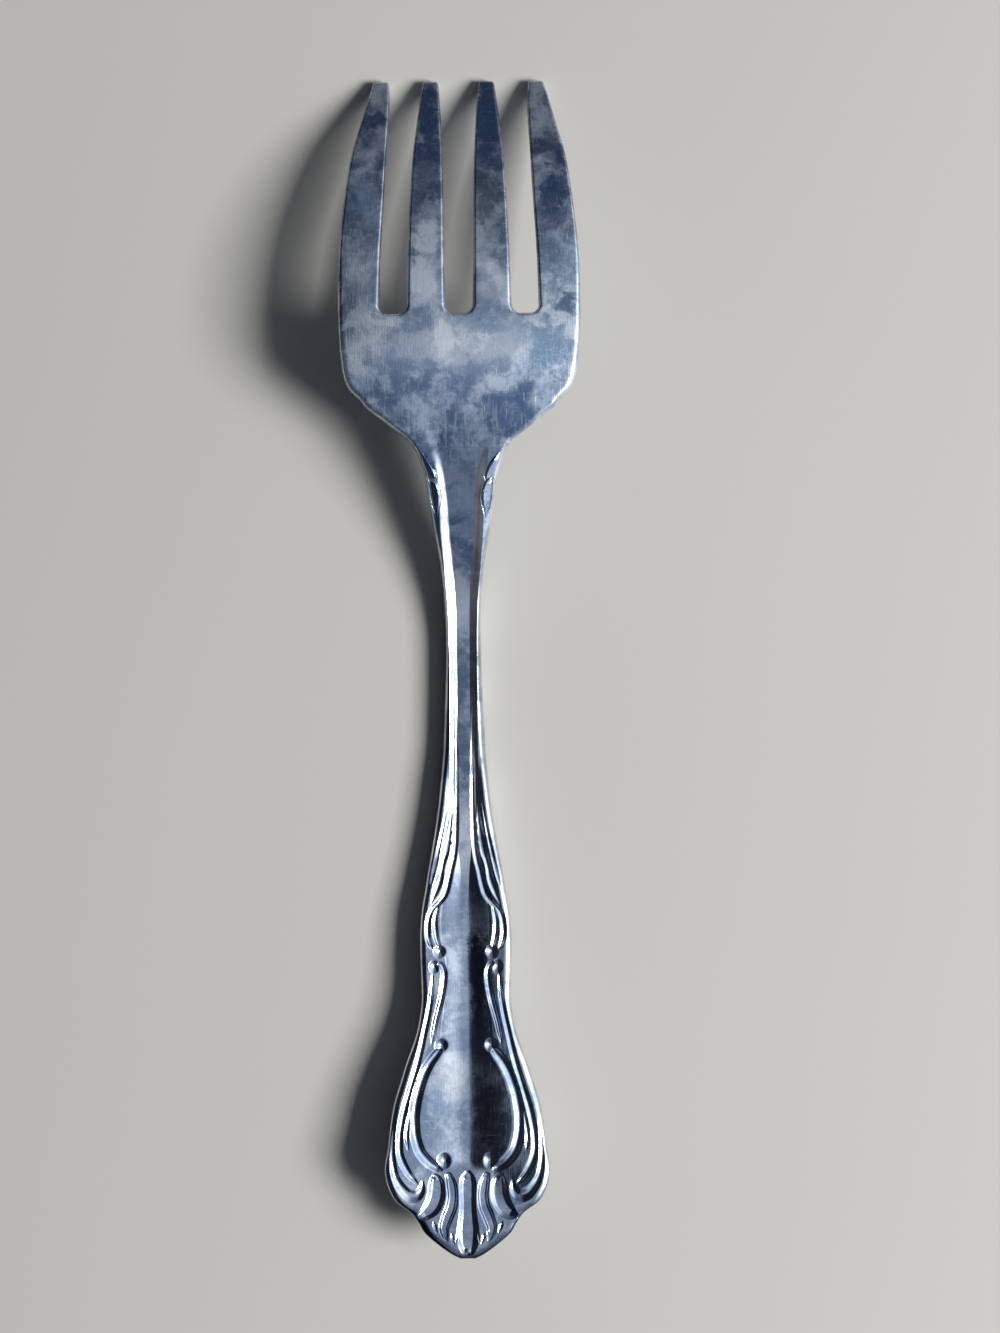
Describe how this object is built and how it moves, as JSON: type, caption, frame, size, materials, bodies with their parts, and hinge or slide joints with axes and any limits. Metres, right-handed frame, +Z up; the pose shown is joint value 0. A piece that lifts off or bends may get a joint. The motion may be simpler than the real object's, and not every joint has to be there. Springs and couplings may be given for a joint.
{
  "type": "dessert fork",
  "caption": "Four-tined dessert fork pressed from sheet steel, with a channelled stem and a broad scrolled handle that ends in a fluted shell. It lies face down, with its back up.",
  "frame": {"origin": "middle of the fork's length and width, on the table that it lies on face down", "axes": "+Y along the fork towards the tips of the tines, +Z up out of the back of the fork, +X to the right when the fork is seen from above with the tines away from the viewer"},
  "size_m": [0.0302, 0.15, 0.0122],
  "materials": {
    "tines": "brushed steel with a dark blue-grey tarnish, darkest towards the tips",
    "head": "brushed steel with fine scratches and mottled blue-grey tarnish",
    "handle": "polished steel with a blue-grey tarnish that lies darker in the pressed lines"
  },
  "bodies": {
    "root": {"outer_tine_left": "tines", "inner_tine_left": "tines", "inner_tine_right": "tines", "outer_tine_right": "tines", "palm": "head", "shoulder": "head", "neck": "handle", "stem": "handle", "upper_handle": "handle", "lower_handle": "handle", "shell_tip": "handle"}
  },
  "joints": []
}
